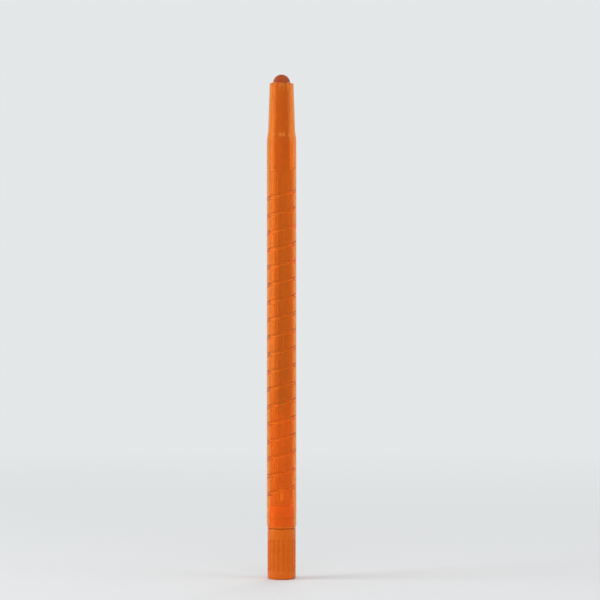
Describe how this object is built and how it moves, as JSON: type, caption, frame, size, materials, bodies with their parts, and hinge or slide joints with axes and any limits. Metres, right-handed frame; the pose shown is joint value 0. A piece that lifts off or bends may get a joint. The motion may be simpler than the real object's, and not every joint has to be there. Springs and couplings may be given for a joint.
{
  "type": "twist crayon",
  "caption": "Slim see-through barrel with a tapered nose and a round wax tip; turning the fluted end knob screws the wax stick in and out.",
  "frame": {"origin": "centre of the knob's flat end, on which the crayon stands", "axes": "+Z along the barrel from the knob to the writing tip, -Y towards the viewer"},
  "size_m": [0.0094, 0.0094, 0.16],
  "materials": {
    "barrel_plastic": "see-through orange, glossy",
    "fork_plastic": "see-through orange",
    "knob_plastic": "orange, glossy",
    "wax": "orange wax, dull"
  },
  "bodies": {
    "body": {"barrel": "barrel_plastic", "rear_bush": "knob_plastic"},
    "twister": {"drive_fork": "fork_plastic", "twist_knob": "knob_plastic", "knob_plug": "knob_plastic"},
    "core": {"wax_carrier": "fork_plastic", "wax_stick": "wax"}
  },
  "joints": [
    {"name": "knob_twist", "type": "hinge", "parent": "body", "child": "twister", "pos_m": [0, 0, 0], "axis": [0, 0, 1], "range_deg": [-216.1, 5976.1]},
    {"name": "core_feed", "type": "slide", "parent": "twister", "child": "core", "axis": [0, 0, 1], "range_m": [-0.0033, 0.0913]}
  ],
  "couplings": [
    {"joint": "knob_twist", "follows": "core_feed", "rad_per_m": 1142.4}
  ]
}
